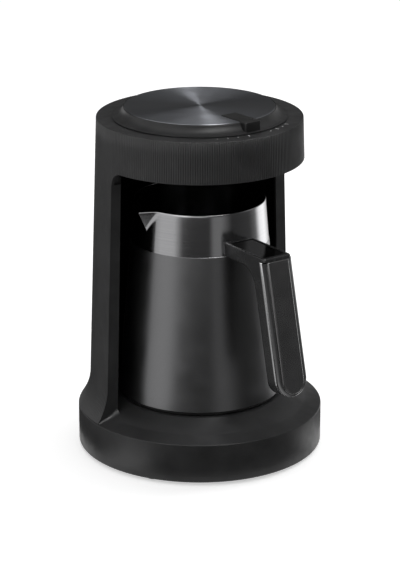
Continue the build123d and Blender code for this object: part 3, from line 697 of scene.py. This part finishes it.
def from_spout(angle):
    """Angle between a direction and the spout's."""
    return abs((angle - math.radians(SPOUT_ANGLE) + math.pi) % TAU - math.pi)


spout_half = math.asin(SPOUT_HALF / JUG_RIM_RADIUS)
# one side of the beak is a plane through the rim point, the tip and the foot
beak_rim = Vector((
    JUG_RIM_RADIUS * math.cos(spout_half), JUG_RIM_RADIUS * math.sin(spout_half), JUG_RIM
))
beak_tip = Vector((SPOUT_REACH, 0.0, JUG_RIM - SPOUT_DROP))
beak_foot = Vector((jug_cone(SPOUT_LOW), 0.0, SPOUT_LOW))
beak_normal = (beak_tip - beak_rim).cross(beak_foot - beak_rim)


def beak_radius(angle, z):
    """Radius of the pouring beak's two flat sides in a direction, at a height."""
    delta = from_spout(angle)
    if delta > SPOUT_SPREAD * spout_half:
        return 0.0
    along = beak_normal.dot(Vector((math.cos(delta), math.sin(delta), 0.0)))
    if abs(along) < PARALLEL:
        return 0.0
    return (beak_normal.dot(beak_rim) - beak_normal.z * z) / along


def wall_radius(angle, z):
    return blend_max(jug_cone(z), beak_radius(angle, z), SPOUT_SOFT)


def rim_height(angle):
    return JUG_RIM - SPOUT_DROP * max(0.0, 1 - from_spout(angle) / spout_half) ** 1.5


def rim_point(angle, t, lip, inset):
    """Point on the steel band, outside or inside, part of the way up to the lip."""
    top = rim_height(angle) - lip
    z = COATING_TOP + BAND_START + (top - COATING_TOP - BAND_START) * t
    return turn(wall_radius(angle, z) - inset, angle, z)


def lip_point(angle, degrees, lip):
    """Point on the rounded rim, over from its outside to its inside."""
    z = rim_height(angle) - lip
    r = wall_radius(angle, z) - lip
    c, s = math.cos(math.radians(degrees)), math.sin(math.radians(degrees))
    return turn(r + lip * c, angle, z + lip * s)


def steel_jug():
    """The jug's wall, beak and floor as one closed shell."""
    columns = spread(-SPOUT_FINE, SPOUT_FINE, 96)
    columns += spread(SPOUT_FINE, 360 - SPOUT_FINE, 300)[1:-1]
    angles = [math.radians(SPOUT_ANGLE) + math.radians(degrees) for degrees in columns]
    count = len(angles)
    lip = JUG_WALL / 2
    rows = []

    def row(point):
        rows.append([point(a) for a in angles])

    for z in (jug_low.z, *JUG_ROWS, COATING_TOP - BAND_STEP, COATING_TOP):
        r = jug_cone(z) - (COATING_RECESS if z < COATING_TOP else 0.0)
        row(lambda a: turn(r, a, z))
    for t in BAND_ROWS:
        row(lambda a: rim_point(a, t, lip, 0.0))
    for degrees in range(30, 181, 30):
        row(lambda a: lip_point(a, degrees, lip))
    for t in BAND_ROWS[-2::-1]:
        row(lambda a: rim_point(a, t, lip, JUG_WALL))
    for z in (*JUG_ROWS[:0:-1], inner_floor + JUG_FLOOR_ROW):
        row(lambda a: turn(jug_cone(z) - JUG_WALL, a, z))
    inner_radius = jug_cone(inner_floor) - JUG_WALL
    for degrees in range(0, 91, 18):
        c, s = math.cos(math.radians(degrees)), math.sin(math.radians(degrees))
        r, z = inner_radius - JUG_CORNER * (1 - c), inner_floor + JUG_CORNER * (1 - s)
        row(lambda a: turn(r, a, z))
    points = [p for r in rows for p in r]
    faces = []
    for j in range(len(rows) - 1):
        faces += band(count, j * count, (j + 1) * count)
    points.append(Vector((0, 0, inner_floor)))
    last = (len(rows) - 1) * count
    for i in range(count):
        faces.append([last + i, last + (i + 1) % count, len(points) - 1])
    bottom = []
    under = inner_floor - JUG_FLOOR
    for r, z in ((jug_cone(jug_low.z) - JUG_WALL, jug_low.z), (inner_radius, under)):
        bottom.append([len(points) + i for i in range(count)])
        points += [turn(r, a, z) for a in angles]
    points.append(Vector((0, 0, under)))
    for i in range(count):
        k = (i + 1) % count
        faces.append([i, bottom[0][i], bottom[0][k], k])
        faces.append([bottom[0][i], bottom[1][i], bottom[1][k], bottom[0][k]])
        faces.append([bottom[1][i], len(points) - 1, bottom[1][k]])
    return points, faces


steel = add_piece("steel_jug", *steel_jug(), "jug", "polished_steel", sharp=60.0)
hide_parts("jug_body", "jug_floor")


def coating_outline():
    low, high = skin_low.z, COATING_TOP
    heights = [low + COATING_EDGE, *spread(low + COATING_ROW, high - COATING_ROW, 12)]
    heights.append(high - COATING_EDGE)
    outline = [(jug_cone(low) - COATING_DEPTH, low), (jug_cone(low), low)]
    outline += [(jug_cone(z) + COATING_PROUD, z) for z in heights]
    return outline + [(jug_cone(high), high), (jug_cone(high) - COATING_DEPTH, high)]


skin = lathe("charcoal_coat", coating_outline(), "jug", "dark_coating", sharp=10.0)
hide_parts("jug_coating")


def pan_outline():
    radius, low, high = pan_high.x, pan_low.z, jug_low.z - SEAM
    outline = [(PAN_HOLE, low), (radius - PAN_ROUND, low)]
    outline += arc((radius - PAN_ROUND, low + PAN_ROUND), PAN_ROUND, -60, 0, 4)
    outline += [(radius, high), (radius - PAN_WALL, high)]
    return outline + [(radius - PAN_WALL, low + PAN_WALL), (PAN_HOLE, low + PAN_WALL)]


pan = lathe("jug_foot_ring", pan_outline(), "jug", "gloss_black")
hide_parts("jug_base_ring")


# ---- handle -----------------------------------------------------------------
OUT = Vector((0.0, -math.cos(HANDLE_LEAN), math.sin(HANDLE_LEAN)))
UP = Vector((0.0, math.sin(HANDLE_LEAN), math.cos(HANDLE_LEAN)))
FACE = Vector((0.0, -HANDLE_REACH, HANDLE_TOP))


def on_face(x, v, depth):
    """Point at a place on the handle's outer face, moved in by a depth."""
    return FACE + Vector((x, 0, 0)) + UP * v - OUT * depth


def top_v(depth, z):
    """Place up the face, at a depth, of a level height."""
    return (z - HANDLE_TOP + depth * math.sin(HANDLE_LEAN)) / math.cos(HANDLE_LEAN)


def tongue_outline(half, length, depth, top_z, inset, corner):
    """Outline of a layer of the handle: level top, straight sides, half-round lower end."""
    top = top_v(depth, top_z) - inset
    half -= inset
    corner = max(corner - inset, LEAST_CORNER)
    low = -length + inset + half
    outline = arc((half - corner, top - corner), corner, 0, 90, 6)
    outline += arc((-half + corner, top - corner), corner, 90, 180, 6)
    outline += [(-half, v) for v in spread(top - corner, low, 8)[1:]]
    outline += arc((0.0, low), half, 180, 360, 32)[1:]
    outline += [(half, v) for v in spread(low, top - corner, 8)[1:-1]]
    return [on_face(x, v, depth) for x, v in outline]


def rounded_levels(front, deep, across, step):
    """Depth and inset down a rounded front edge."""
    levels = []
    for degrees in range(0, 91, step):
        a = math.radians(degrees)
        levels.append((front + deep * (1 - math.cos(a)), across * (1 - math.sin(a))))
    return levels


BENEATH_CAP = HANDLE_TOP - CAP - SEAM


def cover_loops():
    length = HANDLE_LENGTH + BEZEL_PROUD - COVER_BORDER - COVER_SHORT
    across, deep = COVER_ROUND
    levels = rounded_levels(0.0, deep, across, 9)
    levels += [(COVER_DEPTH - COVER_BEVEL, 0.0), (COVER_DEPTH, COVER_BEVEL)]
    return [
        tongue_outline(COVER_HALF, length, depth, BENEATH_CAP, inset, COVER_CORNER)
        for depth, inset in levels
    ]


cover = loft("grip_cover", cover_loops(), "jug", "gloss_black", looks["satin_black"])
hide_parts("handle_cover")


def bezel_frame():
    """Chrome frame between cover and grip, as one closed ring."""
    front = COVER_DEPTH + SEAM
    back = front + BEZEL_DEPTH
    length = HANDLE_LENGTH + BEZEL_PROUD
    wide, fall = BEZEL_CROWN
    levels = rounded_levels(front, fall, wide, 10)
    levels += [(back - BEZEL_EASE, 0.0), (back, BEZEL_EASE)]
    levels += [(back, BEZEL_RAIL), (front, BEZEL_RAIL)]
    loops = [
        tongue_outline(BEZEL_HALF, length, depth, BENEATH_CAP, inset, BEZEL_CORNER)
        for depth, inset in levels
    ]
    count = len(loops[0])
    points = [p for loop in loops for p in loop]
    faces = []
    for j in range(len(loops)):
        faces += band(count, j * count, (j + 1) % len(loops) * count)
    return points, faces


bezel = add_piece("chrome_frame", *bezel_frame(), "jug", "chrome_trim")
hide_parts("handle_bezel")


def fall_back(x, radius):
    """How far a rounded edge along the handle's side falls back at a place across it."""
    side = max(0.0, abs(x) - (HANDLE_HALF - radius))
    return radius - math.sqrt(max(0.0, radius**2 - side**2))


def reach(z, depth):
    """Distance of the handle's leaning face from the axis at a height, moved in by a depth."""
    return HANDLE_REACH + (HANDLE_TOP - z) * math.tan(HANDLE_LEAN) - depth / math.cos(HANDLE_LEAN)


def grip_slice(x):
    """Side outline of the arm and grip at a place across the handle."""
    eased = fall_back(x, GRIP_ROUND)
    top_z = HANDLE_TOP - fall_back(x, TOP_EDGE)
    arm_z = HANDLE_TOP - ARM_THICKNESS + eased
    cap_z = HANDLE_TOP - CAP
    lip_z = top_z - CAP_ROUND
    lip_depth = CAP_INSET + fall_back(x, CAP_CORNER)
    front = COVER_DEPTH + BEZEL_DEPTH + 2 * SEAM
    back = front + GRIP_DEPTH - eased

    # from the jug's wall along the arm's top, through the inlay's recess, to the cap
    loop = []
    for z in (arm_z, top_z):
        root = jug_cone(z) + (COATING_PROUD + SEAM)
        loop.append((-math.sqrt(root**2 - x**2), z))
    dip = HANDLE_TOP - INLAY_RECESS if abs(x) < HANDLE_HALF - INLAY_BORDER else top_z
    near = -(jug_cone(HANDLE_TOP) + INLAY_BORDER)
    far = -reach(HANDLE_TOP, INLAY_LIP)
    loop += [(near, top_z), (near, dip), (far, dip), (far, top_z)]
    lip_centre = (-reach(lip_z, lip_depth + CAP_ROUND), lip_z)
    loop += arc(lip_centre, CAP_ROUND, 90, 180 - math.degrees(HANDLE_LEAN), 6)
    loop += [(-reach(cap_z, lip_depth), cap_z), (-reach(cap_z, front), cap_z)]

    # down the face and round the lower end
    low = -(HANDLE_LENGTH - HANDLE_HALF) - math.sqrt(max(0.0, HANDLE_HALF**2 - x**2))
    corner = min(GRIP_ROUND, back - front - GRIP_LAND)
    face = [(v, front) for v in spread(top_v(front, cap_z), low, 8)[1:-1]]
    face += [(low, front), *arc((low + corner, back - corner), corner, 180, 90, 8)]
    for v, depth in face:
        loop.append(tuple(on_face(0.0, v, depth).yz))

    # up the back and round the curve below the arm
    trim = ARM_CURVE * math.tan((math.pi / 2 - HANDLE_LEAN) / 2)
    corner_y = -reach(arm_z, back)
    down = Vector((-math.sin(HANDLE_LEAN), -math.cos(HANDLE_LEAN)))
    start = Vector((corner_y, arm_z)) + down * trim
    centre = Vector((corner_y + trim, arm_z - ARM_CURVE))
    first = math.degrees(math.atan2(start.y - centre.y, start.x - centre.x)) % 360
    line_low = Vector(loop[-1])
    for t in spread(0.0, 1.0, 6)[1:-1]:
        loop.append(tuple(line_low + (start - line_low) * t))
    loop += arc(centre, ARM_CURVE, first, 90, 12)
    return [(x, y, z) for y, z in loop]


recess_half = HANDLE_HALF - INLAY_BORDER
slices = [0.0, 0.3 * recess_half, 0.6 * recess_half]
slices += [recess_half - INLAY_WALL, recess_half + INLAY_WALL]
for degrees in (0, 12, 24, 36, 48, 58, 68, 76, 84, 90):
    slices.append(HANDLE_HALF - GRIP_ROUND * (1 - math.sin(math.radians(degrees))))
slices = sorted(set(slices))
grip_loops = [grip_slice(x) for x in [-x for x in reversed(slices[1:])] + slices]
grip = loft("arm_and_grip", grip_loops, "jug", "gloss_black", looks["arm_black"], sharp=35.0)
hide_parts("handle_body")

inlay_levels = [(0.0, inlay_low.z), (0.0, inlay_high.z - INLAY_BEVEL), (INLAY_BEVEL, inlay_high.z)]
inlay_outline = rounded_rectangle(recess_half - SEAM, inlay_low.y, inlay_high.y, INLAY_CORNER)
inlay_loops = slab(inlay_outline, inlay_levels)
inlay = loft("arm_inlay", inlay_loops, "jug", "gloss_black", looks["mirror_black"])
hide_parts("handle_top_inlay")


# ---- generic marks round the dial -------------------------------------------
def mark_loops(degrees, half_long, half_wide):
    """A dot or tick on the head's top, along the line to the dial's centre."""
    c, s = math.cos(math.radians(degrees)), math.sin(math.radians(degrees))
    outline = rounded_rectangle(half_wide, -half_long, half_long, half_wide * MARK_ROUND, 4)
    loops = []
    for z in (HEAD_TOP - MARK_SINK, HEAD_TOP + MARK_HIGH):
        placed = [(x, MARK_RADIUS - y) for x, y in outline]
        loops.append([(r * s + x * c, -r * c + x * s, z) for x, r in placed])
    return loops


for index, degrees in enumerate(MARK_TURNS):
    loops = mark_loops(degrees, *(MARK_TICK if index % 2 else MARK_DOT))
    loft(f"mark_{index}", loops, "machine", "part_grey", looks["print_grey"])


# ---- studio -----------------------------------------------------------------
CAMERA_AZIMUTH = math.radians(-34.65)    # from the front towards +X
WHITE = (1.0, 1.0, 1.0, 1.0)
FLOOR_Z = feet_low.z
FLOOR_REACH = 8.0
FLOOR_GLOW = (0.5, 0.5, 0.5, 1.0)
FILL = 0.45
BACKDROP = 1.0


def seen(distance, degrees, z):
    """Point round the object, at an angle to the right of the camera's direction."""
    return turn(distance, CAMERA_AZIMUTH + math.radians(degrees), z)


def add_stage(name, points, faces, material):
    piece = new_object(name, points, faces)
    piece.data.materials.append(material)
    return piece


def seen_by_eye(tree):
    """1 where the camera, gloss or glass looks, 0 for the light that falls on things."""
    path = tree.nodes.new("ShaderNodeLightPath")
    source = path.outputs["Is Camera Ray"]
    for word in ("Is Glossy Ray", "Is Transmission Ray"):
        most = tree.nodes.new("ShaderNodeMath")
        most.operation = "MAXIMUM"
        tree.links.new(source, most.inputs[0])
        tree.links.new(path.outputs[word], most.inputs[1])
        source = most.outputs["Value"]
    return source


floor_material, floor_tree, floor_shader = new_material("floor_paper")
paper = ramp(floor_tree, noise(floor_tree, scale=300.0), grey(0.84), grey(0.86))
floor_tree.links.new(paper, floor_shader.inputs["Base Color"])
set_sockets(floor_shader, Roughness=0.9, Specular_IOR_Level=0.0, Emission_Color=FLOOR_GLOW)
floor_tree.links.new(seen_by_eye(floor_tree), floor_shader.inputs["Emission Strength"])
floor_corners = [
    (x * FLOOR_REACH, y * FLOOR_REACH, FLOOR_Z) for x, y in ((-1, -1), (1, -1), (1, 1), (-1, 1))
]
add_stage("floor", floor_corners, [[0, 1, 2, 3]], floor_material)

# Cards round the object, which only gloss can see. Their tones are given at degrees to the right
# of the camera: on the floor, on the floor close to the base, and above the horizon.
LOW_TONES = (
    (-180, 0.3), (-140, 0.3), (-120, 0.12), (-104, 0.12), (-92, 0.34), (-80, 0.44), (-66, 0.64),
    (-42, 0.62), (-34, 0.30), (-28, 0.06), (-18, 0.04), (16, 0.04), (22, 0.24), (36, 0.24),
    (46, 0.12), (54, 0.04), (90, 0.06), (106, 0.2), (118, 1.6), (134, 1.7), (150, 0.8), (180, 0.5),
)
NEAR_TONES = (
    (-180, 0.05), (-92, 0.05), (-66, 0.05), (-56, 0.6), (-46, 1.7), (-36, 1.6), (-26, 0.3),
    (-18, 0.03), (58, 0.03), (66, 0.4), (74, 1.3), (90, 1.2), (100, 0.4), (110, 0.1), (180, 0.05),
)
HIGH_TONES = (
    (-180, 0.08), (-122, 0.12), (-112, 0.35), (-102, 1.0), (-24, 1.0), (-12, 0.05), (60, 0.05),
    (80, 0.1), (90, 0.35), (146, 0.35), (160, 0.08), (180, 0.08),
)
# soft lights above the horizon: (turn, half width, rise, half height) in degrees, and tone
SOFT_LIGHTS = (
    (5.0, 60.0, 62.0, 24.0, 0.6), (32.0, 24.0, 62.0, 22.0, 8.0), (178.0, 9.0, 60.0, 14.0, 0.8),
    (-14.0, 34.0, 14.0, 6.0, 1.0), (225.0, 30.0, 10.0, 7.0, 1.0),
)
# rings on the floor. The beak's side sees the second group, which is dark between two turns.
NEAR_RINGS = (0.092, 0.115, 0.135)
BEAK_RINGS = (0.146, 0.215)
BEAK_TURN = (-38, -14)
BEAK_SHADE = 0.15
FAR_RINGS = (0.24, 0.9)
CARD_REACH = FAR_RINGS[-1]
CARD_LIFT = 1 * MM
CARD_STEPS = 120
CARD_RISES = (4, 8, 12, 18, 25, 32, 40, 48, 56, 64, 72, 80, 88)
HORIZON = (4, 10)                    # rise where the low tones end, and over how many degrees
PLAIN_WHITE = (0.99, 1.01)


def tone_at(tones, degrees):
    for (a, low), (b, high) in zip(tones, tones[1:]):
        if a <= degrees <= b:
            return low + (high - low) * (degrees - a) / (b - a)
    return tones[-1][1]


def soft_lights(degrees, rise):
    """Tone that the soft lights add in a direction."""
    total = 0.0
    for turned, wide, raised, high, tone in SOFT_LIGHTS:
        off = abs((degrees - turned + 180) % 360 - 180)
        side = max(0.0, 1 - off / wide)
        height = max(0.0, 1 - abs(rise - raised) / high)
        total += tone * min(1.0, 2 * side) * min(1.0, 2 * height)
    return total


def card_tone(distance, rise, degrees):
    on_floor = rise == 0
    low = tone_at(NEAR_TONES if on_floor and distance in NEAR_RINGS else LOW_TONES, degrees)
    if on_floor and distance in BEAK_RINGS and BEAK_TURN[0] <= degrees <= BEAK_TURN[1]:
        low *= BEAK_SHADE
    high = tone_at(HIGH_TONES, degrees)
    mix = min(1.0, max(0.0, (rise - HORIZON[0]) / HORIZON[1]))
    return low + (high - low) * mix + soft_lights(degrees, rise)


def reflection_cards():
    """Ring on the floor and dome above it, open where both would be as white as the backdrop."""
    rows = [(r, FLOOR_Z + CARD_LIFT, 0) for r in (*NEAR_RINGS, *BEAK_RINGS, *FAR_RINGS)]
    for rise in CARD_RISES:
        a = math.radians(rise)
        rows.append((CARD_REACH * math.cos(a), CARD_REACH * math.sin(a), rise))
    points, tones, faces = [], [], []
    for distance, z, rise in rows:
        for i in range(CARD_STEPS):
            degrees = -180 + 360 * i / CARD_STEPS
            points.append(seen(distance, degrees, z))
            tones.append(card_tone(distance, rise, degrees))
    for j in range(len(rows) - 1):
        for corners in band(CARD_STEPS, j * CARD_STEPS, (j + 1) * CARD_STEPS):
            if not all(PLAIN_WHITE[0] < tones[c] < PLAIN_WHITE[1] for c in corners):
                faces.append(corners)
    material, tree, shader = new_material("card_paper")
    tree.nodes.remove(shader)
    glow = tree.nodes.new("ShaderNodeEmission")
    reading = tree.nodes.new("ShaderNodeAttribute")
    reading.attribute_name = "tone"
    tree.links.new(reading.outputs["Fac"], glow.inputs["Strength"])
    tree.links.new(glow.outputs["Emission"], tree.nodes["Material Output"].inputs["Surface"])
    cards = add_stage("reflection_cards", points, faces, material)
    cards.data.attributes.new("tone", "FLOAT", "POINT").data.foreach_set("value", tones)
    cards.visible_camera = False
    cards.visible_diffuse = False
    cards.visible_shadow = False


reflection_cards()

# name, place (distance, degrees to the right of the camera, height), width, height, watts
SOFTBOXES = (
    ("softbox_left", (1.3, -72, 0.55), 0.7, 1.3, 3.0),
    ("softbox_right", (1.3, 118, 0.55), 0.7, 1.3, 10.0),
    ("softbox_top", (0.2, 180, 1.5), 1.2, 1.2, 7.0),
)
LIT_POINT = Vector((0, 0, 0.12))
for name, place, width, height, power in SOFTBOXES:
    data = bpy.data.lights.new(name, "AREA")
    data.shape = "RECTANGLE"
    data.size = width
    data.size_y = height
    data.energy = power
    lamp = bpy.data.objects.new(name, data)
    bpy.context.scene.collection.objects.link(lamp)
    lamp.location = seen(*place)
    lamp.rotation_euler = (seen(*place) - LIT_POINT).to_track_quat("Z", "Y").to_euler()
    lamp.visible_glossy = False

world = bpy.data.worlds.new("studio")
bpy.context.scene.world = world
world.use_nodes = True
world_tree = world.node_tree
fill = world_tree.nodes["Background"]
white = world_tree.nodes.new("ShaderNodeBackground")
set_sockets(fill, Color=WHITE, Strength=FILL)
set_sockets(white, Color=WHITE, Strength=BACKDROP)
either = world_tree.nodes.new("ShaderNodeMixShader")
world_tree.links.new(seen_by_eye(world_tree), either.inputs["Fac"])
world_tree.links.new(fill.outputs["Background"], either.inputs[1])
world_tree.links.new(white.outputs["Background"], either.inputs[2])
world_tree.links.new(either.outputs["Shader"], world_tree.nodes["World Output"].inputs["Surface"])
bpy.context.scene.view_settings.view_transform = "Standard"


# ---- camera -----------------------------------------------------------------
CAMERA_ELEVATION = math.radians(18.945)
CAMERA_DISTANCE = 1.589943
CAMERA_FOCUS = Vector((0, 0, 0.108498))
PHOTO_HEIGHT = 570                   # pixels, as are the next two
FOCAL_LENGTH = 2366.5
SHIFT = (0.27, 0.5)
SENSOR_HEIGHT = 36.0
camera_data = bpy.data.cameras.new("camera")
camera_data.sensor_fit = "VERTICAL"
camera_data.sensor_height = SENSOR_HEIGHT
camera_data.lens = FOCAL_LENGTH / PHOTO_HEIGHT * SENSOR_HEIGHT
camera_data.shift_x = SHIFT[0] / PHOTO_HEIGHT
camera_data.shift_y = SHIFT[1] / PHOTO_HEIGHT
camera = bpy.data.objects.new("camera", camera_data)
bpy.context.scene.collection.objects.link(camera)
sight = Vector((
    math.sin(CAMERA_AZIMUTH) * math.cos(CAMERA_ELEVATION),
    -math.cos(CAMERA_AZIMUTH) * math.cos(CAMERA_ELEVATION),
    math.sin(CAMERA_ELEVATION),
))
camera.location = CAMERA_FOCUS + sight * CAMERA_DISTANCE
camera.rotation_euler = sight.to_track_quat("Z", "Y").to_euler()
bpy.context.scene.camera = camera
